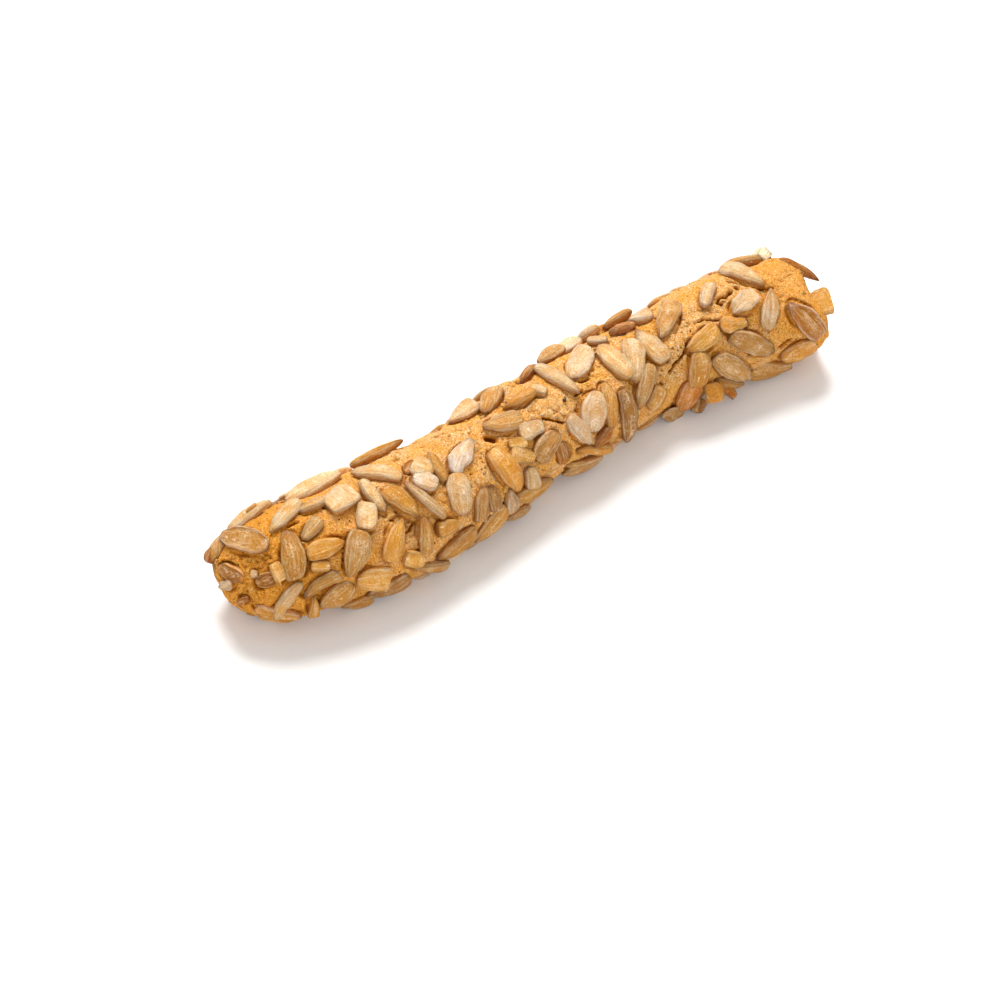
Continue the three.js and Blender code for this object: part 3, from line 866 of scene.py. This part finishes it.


# Wheat crust, oven baked: matt and granular, golden where smooth, paler where torn, with pinholes where its
# gas came out. Its hollows, pits, pinholes and cracks are painted amber to brown as shade.
def bakedCrust():
    material, tree, shader = newMaterial("oven-baked wheat crust")
    place = node(tree, "ShaderNodeTexCoord").outputs["Object"]
    zones = node(tree, "ShaderNodeSeparateXYZ", {
        "Vector": node(tree, "ShaderNodeAttribute", attribute_name="crustZones").outputs["Vector"]})
    patch, mottle, crumb, grain, dust = (node(tree, "ShaderNodeTexNoise", {
        "Vector": place, "Scale": 1 / (crustFinish[size] * mm), "Detail": detail, "Roughness": 0.62})
        for size, detail in (("patch", 3), ("mottle", 4), ("crumb", 5), ("grain", 3), ("dust", 2)))
    stray = node(tree, "ShaderNodeVectorMath", {
        0: crumb.outputs["Color"], "Scale": crustFinish["stray"] * mm}, operation="SCALE")
    strayed = node(tree, "ShaderNodeVectorMath", {0: stray.outputs["Vector"], 1: place}, operation="ADD")
    granules, pinholes = (node(tree, "ShaderNodeTexVoronoi", {
        "Vector": strayed.outputs["Vector"], "Scale": 1 / (crustFinish[size] * mm), "Randomness": 1})
        for size in ("granule", "pinhole"))
    # each share runs from the first two values of its pattern to the last two
    share = {name: node(tree, "ShaderNodeMapRange", {
        "Value": value,
        "From Min": start, "From Max": end, "To Min": low, "To Max": high}).outputs["Result"]
        for name, value, start, end, low, high in (
            ("pale", patch.outputs["Fac"], 0.42, 0.64, 0, 0.7),
            ("amber", mottle.outputs["Fac"], 0.46, 0.72, 0, 0.5),
            ("grain", grain.outputs["Fac"], 0.4, 0.6, 0, 1),
            ("dust", dust.outputs["Fac"], 0.44, 0.57, 0, 1),
            ("between", granules.outputs["Distance"], 0.45, 0.75, 0, 0.4),
            ("some", mottle.outputs["Fac"], 0.5, 0.56, 0, 1),
            ("hole", pinholes.outputs["Distance"], 0.08, 0.17, 1, 0))}
    # pinholes painted dark inside as shade, joined with the painted shade of crustZones Y
    opened = node(tree, "ShaderNodeMath", {
        0: share["hole"], 1: share["some"]}, operation="MULTIPLY").outputs["Value"]
    depth = node(tree, "ShaderNodeMath", {0: opened, 1: zones.outputs["Y"]}, operation="MAXIMUM")
    hollow, deep = (node(tree, "ShaderNodeMapRange", {
        "Value": depth.outputs["Value"], "From Min": start, "From Max": end}).outputs["Result"]
        for start, end in ((0.05, 0.5), (0.5, 0.95)))
    grainShading, dustShading = (node(tree, "ShaderNodeMixRGB", {
        "Fac": share[size],
        "Color1": crustFinish["grainHollowShade"],
        "Color2": crustFinish["grainTopHighlight"]}).outputs["Color"] for size in ("grain", "dust"))
    tint = {name: rgba(crustFinish[name]) for name in ("golden", "pale", "torn", "amber", "hollow", "deep")}
    coats = [
        ("MIX", share["pale"], tint["pale"]), ("MIX", zones.outputs["X"], tint["torn"]),
        # crustZones Z: partly painted shade in torn hollows and beside kernels, partly browner crust
        ("MIX", share["amber"], tint["amber"]), ("MIX", zones.outputs["Z"], tint["amber"]),
        # painted shade and painted highlight on the grain and dust
        ("MULTIPLY", 0.85, grainShading), ("MULTIPLY", 1.0, dustShading),
        # painted shade between the granules, in amber
        ("MIX", share["between"], tint["amber"]),
        # painted shade: hollow and deep darken pits, cracks, pinholes and gaps
        ("MIX", hollow, tint["hollow"]), ("MIX", deep, tint["deep"])]
    depths = crustFinish["relief"]
    cuts = [
        (crumb.outputs["Fac"], depths["crumb"], False),
        (granules.outputs["Distance"], depths["granule"], True),
        (grain.outputs["Fac"], depths["grain"], False),
        (dust.outputs["Fac"], depths["dust"], False),
        (opened, depths["pinhole"], True)]
    finishSkin(tree, shader, tint["golden"], coats, cuts, crustFinish["shader"])
    return material


# what the oven made of a kernel's skin: colours, and sizes in mm
kernelFinish = {
    "warm": "#c98236",
    "bloomAndHighlight": "#fff0da",
    # painted shade in the hollows of the fibres and dust, and painted highlight on their tops
    "grainHollowShade": (0.88, 0.76, 0.58, 1),
    "grainTopHighlight": (1.08, 1.12, 1.25, 1),
    # how long and how wide each part of its grain is
    "fibre": (7.0, 0.34),
    "wrinkle": (3.0, 1.3),
    "mottle": (1.8, 1.8),
    "grain": (0.4, 0.4),
    "fleck": (1.6, 0.2),
    "dust": (0.28, 0.28),  # real bloom is finer, and is drawn as coarse as it needs to show
    "lighter": 0.5,  # the power that turns a kernel's tint to its bloom, which is partly painted highlight
    "whitened": 0.42,  # the share of white in the bloom
    "relief": {"wrinkle": 0.5, "fibre": 0.09, "grain": 0.34, "dust": 0.2},
    "shader": {
        "IOR": 1.47,
        "Specular IOR Level": 0.22,
        "Subsurface Weight": 0.3,
        "Subsurface Radius": (0.9, 0.5, 0.2),  # how far red, green and blue spread under the skin
        "Subsurface Scale": mm,
    },
}


# Hulled sunflower kernels, oven roasted: fine fibres along their length, warm where the skin is whole,
# bloomed and flecked white where it has rubbed off and along the rim, the white partly painted highlight on
# ridges, fibres, flecks and rim, with a film of their own oil that gives each top a soft broken light.
def roastedKernel():
    material, tree, shader = newMaterial("oven-roasted sunflower kernel")
    tint = node(tree, "ShaderNodeAttribute", attribute_name="kernelTint").outputs["Color"]
    own = node(tree, "ShaderNodeAttribute", attribute_name="kernelGrain").outputs["Vector"]
    rim = node(tree, "ShaderNodeAttribute", attribute_name="kernelRim").outputs["Fac"]
    grain = {}
    details = {"fibre": 3, "wrinkle": 4, "mottle": 5, "grain": 3, "fleck": 2, "dust": 2}
    for name, detail in details.items():
        long, wide = kernelFinish[name]
        laid = node(tree, "ShaderNodeVectorMath", {
            0: own, 1: (1 / long, 1 / wide, 1 / wide)}, operation="MULTIPLY")
        grain[name] = node(tree, "ShaderNodeTexNoise", {
            "Vector": laid.outputs["Vector"],
            "Scale": 1, "Detail": detail, "Roughness": 0.6}).outputs["Fac"]
    share = {name: node(tree, "ShaderNodeMapRange", {
        "Value": grain[source],
        "From Min": start, "From Max": end, "To Min": low, "To Max": high}).outputs["Result"]
        for name, source, start, end, low, high in (
            ("fibre", "fibre", 0.36, 0.64, 0, 1), ("dust", "dust", 0.42, 0.58, 0, 1),
            ("warm", "mottle", 0.5, 0.74, 0, 0.35), ("ridge", "wrinkle", 0.48, 0.64, 0, 1),
            ("rubbedAndHighlit", "grain", 0.42, 0.6, 0.0, 0.5), ("streak", "fibre", 0.56, 0.7, 0, 0.4),
            ("fleck", "fleck", 0.52, 0.68, 0, 0.8), ("bare", "mottle", 0.52, 0.4, 0, 1),
            ("worn", "fleck", 0.36, 0.6, 0.06, 0.66), ("oil", "grain", 0.46, 0.62, 0.52, 0.2))}
    # painted highlight with pale bloom: on wrinkle ridges, on flecks and along the rim
    ridgeBloomAndHighlight, flecked, rimmed = (node(tree, "ShaderNodeMath", {
        0: first, 1: second}, operation="MULTIPLY").outputs["Value"] for first, second in (
            (share["ridge"], share["rubbedAndHighlit"]), (share["fleck"], share["bare"]), (rim, share["worn"])))
    fibreShading, dustShading = (node(tree, "ShaderNodeMixRGB", {
        "Fac": share[size],
        "Color1": kernelFinish["grainHollowShade"],
        "Color2": kernelFinish["grainTopHighlight"]}).outputs["Color"] for size in ("fibre", "dust"))
    lighter = node(tree, "ShaderNodeGamma", {"Color": tint, "Gamma": kernelFinish["lighter"]})
    bloomAndHighlight = node(tree, "ShaderNodeMixRGB", {
        "Fac": kernelFinish["whitened"],
        "Color1": lighter.outputs["Color"],
        "Color2": rgba(kernelFinish["bloomAndHighlight"])}).outputs["Color"]
    tree.links.new(share["oil"], shader.inputs["Roughness"])
    coats = [
        # painted shade and painted highlight on the fibres
        ("MULTIPLY", 0.5, fibreShading), ("MIX", share["warm"], rgba(kernelFinish["warm"])),
        # painted highlight with pale bloom on ridges, fibre tops, flecks and rim
        ("MIX", ridgeBloomAndHighlight, bloomAndHighlight), ("MIX", share["streak"], bloomAndHighlight),
        ("MIX", flecked, bloomAndHighlight), ("MIX", rimmed, bloomAndHighlight),
        # painted shade and painted highlight on the dust
        ("MULTIPLY", 0.85, dustShading)]
    cuts = [(grain[name], depth, False) for name, depth in kernelFinish["relief"].items()]
    finishSkin(tree, shader, tint, coats, cuts, kernelFinish["shader"])
    return material


crustMaterial = bakedCrust()
kernelMaterial = roastedKernel()
print("materials made")

floorGap = 0.04  # how high above the plane that it lies on everything stays, in mm

# the crust: lumps, torn crumb, pores and cracks, in mm
crustRelief = {
    "rings": 500,
    "around": 192,
    "lumps": [(13.0, 0.4), (5.6, 0.32), (2.6, 0.18), (1.3, 0.1)],  # spacing and height
    "granules": (1.2, 0.1),
    "tornLumps": [(3.6, 0.12), (1.9, 0.11), (1.0, 0.1)],
    "tornEdge": (1.3, 3.0),  # how ragged, and the spacing
    "hiddenTears": (7, 0.28, 0.5),  # spacing, and from and up to which value of the noise
    "fissures": (2.6, 0.07, 0.4),  # spacing, fineness and depth
    "pores": (800, (0.17, 0.36), (0.15, 0.6)),  # how many, how wide and how deep
    "tornPores": (150, (0.16, 0.34), (0.25, 0.8)),
    # how the dough holds a kernel, with heights and depths from its middle as shares of its thickness
    "grip": 0.7,  # how far from a kernel the dough reaches up its side, in mm
    "gripHeight": -0.12,
    "flushHeight": 0.34,
    "gripUnevenness": (0.3, 3.6),  # height, and spacing in mm
    "bedDepth": (-0.44, -0.2),
    "lowestGrip": -0.36,
    "gripMove": (-1.2, 1.3),  # the most that the dough gives way or rises, in mm
    "gripLimits": (3, 4, 4.5),  # past its ends, and above or below where dough is browned and moved, in mm
    "gap": (0.15, 0.34, 0.9),  # how far off, how wide and how deep the gap beside it is in places, in mm
    "soleLift": (0.12, 0.1, 2.5),  # height, unevenness and spacing of the sole
    "soleSoftness": 0.5,
}
# where the crust is pale, painted dark as shade, and brown, from 0 to 1
crustTone = {
    "torn": 0.85,  # how pale torn crumb is
    "fissures": 0.28,  # how dark fissures, pores and cracks are painted inside, as shade
    "pores": 0.9,
    "cracks": 0.95,
    "cragShade": 0.25,  # how much browner the hollows of torn crumb are: painted shade
    "besideKernelShade": 0.35,  # painted shade in the dough beside a kernel
    "gap": (0.1, 0.36),  # painted shadow in the gap beside a kernel: how dark it is, and how much more in places
    "low": 0.35,  # near the sole
    "left": (0.85, -36, -66),  # at the ends: how much, and from and up to where along the stick
    "right": (0.6, 56, 70),
}

# where the crust has torn open to paler crumb: pixel, reach in mm
tornPlaces = {
    "crumb under the long kernel at the right": [(740, 286, 2.2), (760, 287, 2.2), (775, 288, 2)],
    "crumb beside the white kernel": [(724, 292, 3.2), (720, 303, 3), (700, 318, 3.2), (708, 312, 3)],
    "strands at the right end": [(785, 275, 3.5), (797, 290, 3), (778, 298, 2), (760, 251, 2.6)],
    "split below the waist": [(682, 328, 3), (688, 338, 2.6), (680, 352, 2.6),
                              (672, 368, 2.6), (664, 380, 2)],
    "ledge in the middle": [(552, 404, 4), (572, 404, 3), (578, 414, 2), (535, 410, 2.5)],
    "split along the back": [(395, 455, 3), (420, 440, 4), (445, 436, 4),
                             (465, 430, 3), (500, 388, 4), (510, 400, 3)],
    "crumb beside the husked kernel": [(482, 462, 3), (476, 490, 3), (487, 478, 3), (473, 446, 2.5)],
    "crumb by the orange kernel": [(400, 520, 3), (392, 505, 2), (410, 535, 3), (415, 525, 2)],
    "left end": [(240, 560, 3), (255, 592, 4), (262, 555, 3)],
}
# narrow cracks and single holes: pixels along each, half width and depth in mm
cracks = {
    "under the long kernel": ([(728, 281), (745, 284), (758, 287), (773, 286)], 0.3, 1.2),
    "hole by the long kernel": ([(736, 286), (737, 287)], 0.5, 2.0),
    "fork by the white kernel": ([(731, 291), (726, 295), (719, 297), (717, 302), (721, 303)], 0.35, 1.4),
    "row above the gold kernel": ([(698, 322), (703, 319), (714, 320), (722, 319)], 0.25, 0.9),
    "hole above the pale kernel": ([(688, 343), (688, 344)], 0.4, 1.6),
    "crack below it": ([(686, 351), (681, 358), (675, 364), (673, 369), (670, 372)], 0.3, 1.4),
    "hole over the grey kernel": ([(656, 367), (655, 370)], 0.4, 1.8),
    "small hole": ([(661, 383), (663, 384)], 0.3, 1.0),
    "under the round kernel": ([(580, 380), (585, 379), (588, 377)], 0.4, 1.6),
    "by the tip of the long kernel": ([(582, 390), (578, 393), (576, 395)], 0.3, 1.3),
    "pinholes": ([(577, 409), (577, 410)], 0.25, 0.9),
    "along the back": ([(394, 459), (397, 458)], 0.45, 1.5),
    "under the cream kernels": ([(288, 525), (293, 523), (296, 522)], 0.35, 1.4),
    "beside the lump": ([(322, 505), (326, 507)], 0.35, 1.2),
    "by the flat kernel": ([(406, 533), (410, 530), (416, 521)], 0.25, 0.9),
    "small crack": ([(391, 519), (394, 520)], 0.25, 0.8),
    "beside the grey kernel": ([(345, 541), (343, 552), (343, 567)], 0.25, 0.9),
    "hole under the pink kernel": ([(487, 437), (491, 438), (494, 439)], 0.9, 1.2),
    "under the ledge": ([(543, 418), (552, 420), (563, 422)], 0.35, 0.9),
    "right end": ([(780, 347), (786, 342), (791, 339)], 0.3, 1.1),
}
# single swellings and dents of the dough: pixel, reach and height in mm
swellings = {
    "ledge in the middle": (554, 409, 3.4, 0.7),
    "fold over the back": (506, 386, 3.0, 0.8),
    "second fold": (432, 438, 4.0, 0.6),
    "crumb under the top kernel": (388, 450, 3.2, 0.9),
    "crumb on the top edge": (764, 253, 2.6, 1.2),
    "shoulder at the right end": (788, 262, 4.4, 1.5),
    "fold at the left end": (264, 594, 2.2, 0.8),
    "knob in the split": (673, 348, 1.4, 0.6),
    "dropped shoulder at the right end": (822, 284, 4.5, -1.3),
}


# distance from each point to a line of points, in mm
def distanceTo(points, line):
    best = np.full(len(points), np.inf)
    for a, b in zip(line[:-1], line[1:]):
        run = b - a
        t = np.clip((points - a) @ run / max(run @ run, 1e-9), 0, 1)
        best = np.minimum(best, np.linalg.norm(points - a - t[:, None] * run, axis=1))
    return best


# dough reaches up a kernel's side by uneven amounts, leaves a gap in places, and stays under the kernel;
# the dough beside it is painted with shade, and the gap with shadow
def gripKernel(points, kernel, zones):
    past, mostBrowned, mostMoved = crustRelief["gripLimits"]
    near = np.where(np.linalg.norm(points - kernel["middle"], axis=1) < kernel["length"] / 2 + past)[0]
    offset = points[near] - kernel["middle"]
    lengthwise, sideways, above = offset @ kernel["along"], offset @ kernel["across"], offset @ kernel["up"]
    above = above + kernel["bend"] * lengthwise ** 2
    reach = np.hypot(lengthwise / (kernel["length"] / 2), sideways / (kernel["width"] / 2))
    outside = (1 - 1 / np.maximum(reach, 1e-3)) * np.hypot(lengthwise, sideways)
    thick = kernel["thickness"]
    height, spacing = crustRelief["gripUnevenness"]
    uneven = softNoise(points[near], spacing, 70)
    level = crustRelief["flushHeight" if kernel["form"] in ("socket", "flush") else "gripHeight"]
    lowest, low, high = (share * thick for share in (crustRelief["lowestGrip"], *crustRelief["bedDepth"]))
    around = np.clip(above, lowest, thick * (level + height * uneven))
    wanted = np.where(reach < 1, np.clip(above, low, high), around)
    hold = np.where(reach < 1, 1, hump(np.maximum(outside, 0), crustRelief["grip"]))
    move = np.clip((wanted - above) * hold, *crustRelief["gripMove"])
    off, width, depth = crustRelief["gap"]
    beside = hump(outside - off, width) * (np.abs(above) < mostBrowned)
    move = move - beside * depth * ease(0.1, -0.3, uneven)
    move[np.abs(above) > mostMoved] = 0
    points[near] += move[:, None] * kernel["up"]
    # painted shade in the dough beside the kernel
    shadedBeside = hump(np.maximum(outside, 0), 0.5) * (np.abs(above) < mostBrowned) * crustTone["besideKernelShade"]
    zones[near, 2] = np.maximum(zones[near, 2], shadedBeside)
    # painted shadow in the gap beside the kernel, darker in places
    dark, more = crustTone["gap"]
    zones[near, 1] = np.maximum(zones[near, 1], beside * (dark + more * ease(0.1, -0.3, uneven)))


def sinkPores(points, smooth, normals, zones, among, pores, dice):
    count, sizes, depths = pores
    for place in dice.choice(among, size=count):
        size, depth = dice.uniform(*sizes), dice.uniform(*depths)
        near = np.where(np.linalg.norm(smooth - smooth[place], axis=1) < size * 2.2)[0]
        cut = hump(np.linalg.norm(smooth[near] - smooth[place], axis=1), size)
        points[near] -= normals[near] * (cut * depth)[:, None]
        # the pore painted dark inside as shade
        zones[near, 1] = np.maximum(zones[near, 1], np.minimum(cut * depth * 0.8, crustTone["pores"]))


def buildDough():
    rings, around = crustRelief["rings"], crustRelief["around"]
    points = crustRings(rings, around)
    normals = ringNormals(points, rings, around)
    smooth = points.copy()
    zones = np.zeros((len(points), 3))  # torn; pitted, painted dark as shade in pits, cracks and gaps; brown, partly painted shade in torn hollows and beside kernels
    height, spacing = crustRelief["tornEdge"]
    ragged = softNoise(smooth, spacing, 21) * height
    torn = np.zeros(len(points))
    for spots in tornPlaces.values():
        for u, v, reach in spots:
            spot, _ = seenPoint(u, v, smoothTree)
            apart = np.linalg.norm(smooth - spot, axis=1) + ragged
            torn = np.maximum(torn, ease(1.2, 0.55, apart / reach))
    hidden = ease(0.1, -0.25, -normals @ cameraForward) * ease(6, 12, smooth[:, 2])
    spacing, start, whole = crustRelief["hiddenTears"]
    tears = ease(start, whole, softNoise(smooth * [0.4, 1, 1], spacing, 22))
    torn = np.maximum(torn, tears * hidden)
    rise = sum(height * softNoise(smooth, spacing, 30 + i)
               for i, (spacing, height) in enumerate(crustRelief["lumps"]))
    spacing, height = crustRelief["granules"]
    rise = rise + height * lumpNoise(smooth, spacing, 39)
    craggy = sum(height * lumpNoise(smooth, spacing, 40 + i)
                 for i, (spacing, height) in enumerate(crustRelief["tornLumps"]))
    spacing, fineness, depth = crustRelief["fissures"]
    fissures = hump(softNoise(smooth * [0.6, 1, 1], spacing, 44), fineness) * torn
    fissures = fissures * ease(-0.2, 0.3, softNoise(smooth, 4.5, 45))
    for u, v, reach, height in swellings.values():
        spot, _ = seenPoint(u, v, smoothTree)
        rise = rise + height * hump(np.linalg.norm(smooth - spot, axis=1), reach)
    points += normals * (rise + torn * craggy - fissures * depth)[:, None]
    # painted shade in the fissures
    zones[:, 1] = fissures * crustTone["fissures"]
    # painted shade in the hollows of torn crumb
    zones[:, 2] = ease(0.1, -0.4, craggy * torn) * crustTone["cragShade"]
    for kernel in kernels:
        if kernel["form"] not in proudForms:
            gripKernel(points, kernel, zones)
    for line, halfWidth, depth in cracks.values():
        seen = np.array([seenPoint(u, v, smoothTree)[0] for u, v in line])
        apart = distanceTo(smooth, seen) + 0.2 * softNoise(smooth, 0.9, 50)
        cut = hump(np.maximum(apart, 0), halfWidth)
        points -= normals * (cut * depth)[:, None]
        # the crack painted dark inside as shade
        zones[:, 1] = np.maximum(zones[:, 1], ease(0.2, 0.8, cut) * crustTone["cracks"])
    poreDice = np.random.default_rng(8)
    sinkPores(points, smooth, normals, zones, len(smooth), crustRelief["pores"], poreDice)
    sinkPores(points, smooth, normals, zones, np.where(torn > 0.5)[0], crustRelief["tornPores"], poreDice)
    low = ease(9, 2, points[:, 2])
    zones[:, 0] = torn * crustTone["torn"]
    zones[:, 2] += crustTone["low"] * low
    for end in ("left", "right"):
        brown, start, whole = crustTone[end]
        zones[:, 2] += brown * ease(start, whole, points[:, 0])
    zones[:, 2] = np.clip(zones[:, 2], 0, 1)
    # the sole: a soft flat, a little uneven
    lift, unevenness, spacing = crustRelief["soleLift"]
    sole = lift + unevenness * softNoise(points * [1, 1, 0], spacing, 60)
    soften = crustRelief["soleSoftness"]
    high = points[:, 2] - sole
    points[:, 2] = sole + 0.5 * (high + np.sqrt(high ** 2 + soften ** 2))
    points[:, 2] = np.maximum(points[:, 2] - soften * 0.3, floorGap)
    faces = ringFaces(rings, around)
    piece = makePiece("dough", points, faces, crustMaterial, {"crustZones": zones})
    return piece, BVHTree.FromPolygons(points.tolist(), faces)


doughPiece, crustTree = buildDough()
print("dough made:", len(doughPiece.data.polygons), "faces")

# bits of kernel and of flour that cling to the finished crust, most of them beside the kernels
bits = {
    "count": 240,
    "size": (0.4, 1.2),
    "flatness": (0.35, 0.7),
    "beside": 0.65,  # the share that lies beside kernels, this far out from their middles
    "reach": (1.05, 1.35),
    "lowest": 3,  # none lie under this height
    "raised": 0.06,
    "lengths": (0.9, 1.7),  # as shares of their width
    "looks": ["yellow", "gold", "ochre", "cream"],
}


def clingingBits(crust, dice):
    made = []
    whole = [kernel for kernel in kernels if kernel["form"] not in crumbForms]
    while len(made) < bits["count"]:
        station, around = dice.uniform(0.02, 0.98), dice.uniform(0, fullTurn)
        heading = dice.uniform(0, fullTurn)
        place = crustAt(np.array(station), np.array(around))
        if dice.uniform(0, 1) < bits["beside"]:
            kernel = whole[dice.integers(len(whole))]
            reach = dice.uniform(*bits["reach"])
            place = (kernel["middle"] + kernel["along"] * math.cos(heading) * kernel["length"] / 2 * reach
                     + kernel["across"] * math.sin(heading) * kernel["width"] / 2 * reach)
        near, normal, _, _ = crust.find_nearest(Vector(place))
        size, flatness = dice.uniform(*bits["size"]), dice.uniform(*bits["flatness"])
        if near[2] < bits["lowest"]:
            continue
        normal = np.array(normal)
        level = unit(np.cross(normal, [1, 0, 0.001]))
        along = unit(np.cross(level, normal) * math.cos(heading) + level * math.sin(heading))
        made.append({
            "middle": np.array(near) + normal * size * bits["raised"], "along": along,
            "across": np.cross(normal, along), "up": normal, "bend": 0,
            "length": size * dice.uniform(*bits["lengths"]), "width": size, "thickness": size * flatness,
            "look": str(dice.choice(bits["looks"])), "form": "bit",
        })
    return made


def kindOf(kernel):
    if kernel["form"] == "bit":
        return "clinging_bits"
    if kernel["form"] in crumbForms:
        return "kernel_crumbs"
    if kernel["form"] == "flake":
        return "kernel_skins"
    if kernel["form"] in ("rimmed", "socket", "flush"):
        return "cupped_kernels"
    if kernel["look"] in ("white", "pale", "cream", "pink"):
        return "pale_kernels"
    return "golden_kernels" if kernel["look"] in ("gold", "orange", "yellow", "toasted") else "tan_kernels"


def buildKernels(crust, dice):
    kinds = {}
    for kernel in kernels + clingingBits(crust, np.random.default_rng(21)):
        points, grain, rubbedAndHighlit, colour = kernelShape(kernel, dice)
        placed = bedded(kernel, points)
        placed[:, 2] = np.maximum(placed[:, 2], floorGap)
        kind = (kindOf(kernel), meshOf(kernel["form"]))
        kinds.setdefault(kind, []).append((placed, grain, rubbedAndHighlit, colour))
    made = []
    for (name, (rings, around)), parts in kinds.items():
        one = ringFaces(rings, around)
        count = len(parts[0][0])
        faces = [tuple(i + k * count for i in face) for k in range(len(parts)) for face in one]
        points, grain, rubbedAndHighlit, colour = (np.concatenate(columns) for columns in zip(*parts))
        finish = crustMaterial if name == "clinging_bits" else kernelMaterial
        layers = {"kernelTint": colour, "kernelGrain": grain, "kernelRim": rubbedAndHighlit}
        piece = makePiece(name, points, faces, finish, layers)
        piece.data.set_sharp_from_angle(angle=math.radians(kernelForm["sharpFrom"]))
        made.append(piece)
        print(name, len(parts), "kernels,", sum(len(face) - 2 for face in faces), "triangles")
    return made


kernelPieces = buildKernels(crustTree, np.random.default_rng(3))

# everything rides on the frame's one body
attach(doughPiece, "root")
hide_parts("breadstick")
for piece in kernelPieces:
    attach(piece, "root")

# the studio: a pale table, a high soft light from behind and a gentle fill
studio = {
    "floor": ("#f2f1f0", "#efeeed"),
    "floorTooth": 5 / 3,  # spacing of its fine mottling, in mm
    "floorRoughness": 0.9,
    "room": "#fffdfa",
    "lightsAim": (0, 0, 0.01),
    "floorSize": 4.0,
    "key": 26,
    "keySize": 0.7,
    "keyPlace": (0.316, 0.709, 1.1),
    "fill": 7,
    "fillSize": 1.2,
    "fillPlace": (-0.5, -1.15, 0.7),
    "sky": 0.68,
}


def lightAt(name, place, size, power):
    data = bpy.data.lights.new(name, "AREA")
    data.shape = "DISK"
    data.size = size
    data.energy = power
    lamp = bpy.data.objects.new(name, data)
    lamp.location = place
    lamp.rotation_mode = "QUATERNION"
    lamp.rotation_quaternion = (Vector(studio["lightsAim"]) - Vector(place)).to_track_quat("-Z", "Y")
    bpy.context.scene.collection.objects.link(lamp)


# Matt painted board: even and nearly white, so that it shows only soft shadow.
def paintedBoard():
    material, tree, shader = newMaterial("matt painted board")
    place = node(tree, "ShaderNodeTexCoord").outputs["Object"]
    tooth = node(tree, "ShaderNodeTexNoise", {
        "Vector": place, "Scale": 1 / (studio["floorTooth"] * mm), "Detail": 2})
    light, dark = (rgba(colour) for colour in studio["floor"])
    tone = node(tree, "ShaderNodeMixRGB", {"Fac": tooth.outputs["Fac"], "Color1": light, "Color2": dark})
    tree.links.new(tone.outputs["Color"], shader.inputs["Base Color"])
    shader.inputs["Roughness"].default_value = studio["floorRoughness"]
    return material


def buildFloor():
    half = studio["floorSize"] / 2
    corners = [(-half, -half, 0), (half, -half, 0), (half, half, 0), (-half, half, 0)]
    mesh = bpy.data.meshes.new("floor")
    mesh.from_pydata(corners, [], [(0, 1, 2, 3)])
    mesh.materials.append(paintedBoard())
    floor = bpy.data.objects.new("floor", mesh)
    bpy.context.scene.collection.objects.link(floor)
    return floor


buildFloor()
lightAt("key light", studio["keyPlace"], studio["keySize"], studio["key"])
lightAt("fill light", studio["fillPlace"], studio["fillSize"], studio["fill"])
world = bpy.data.worlds.new("soft room")
world.use_nodes = True
sky = world.node_tree.nodes["Background"]
sky.inputs["Color"].default_value = rgba(studio["room"])
sky.inputs["Strength"].default_value = studio["sky"]
bpy.context.scene.world = world
bpy.context.scene.view_settings.view_transform = "Standard"


def buildCamera():
    data = bpy.data.cameras.new("camera")
    data.lens = camera["lens"]
    data.sensor_width = camera["sensorWidth"]
    data.clip_start, data.clip_end = camera["clip"]
    eye = bpy.data.objects.new("camera", data)
    eye.location = cameraPlace * mm
    eye.rotation_mode = "QUATERNION"
    eye.rotation_quaternion = Vector(cameraForward).to_track_quat("-Z", "Y")
    bpy.context.scene.collection.objects.link(eye)
    bpy.context.scene.camera = eye


buildCamera()
print("studio lit")
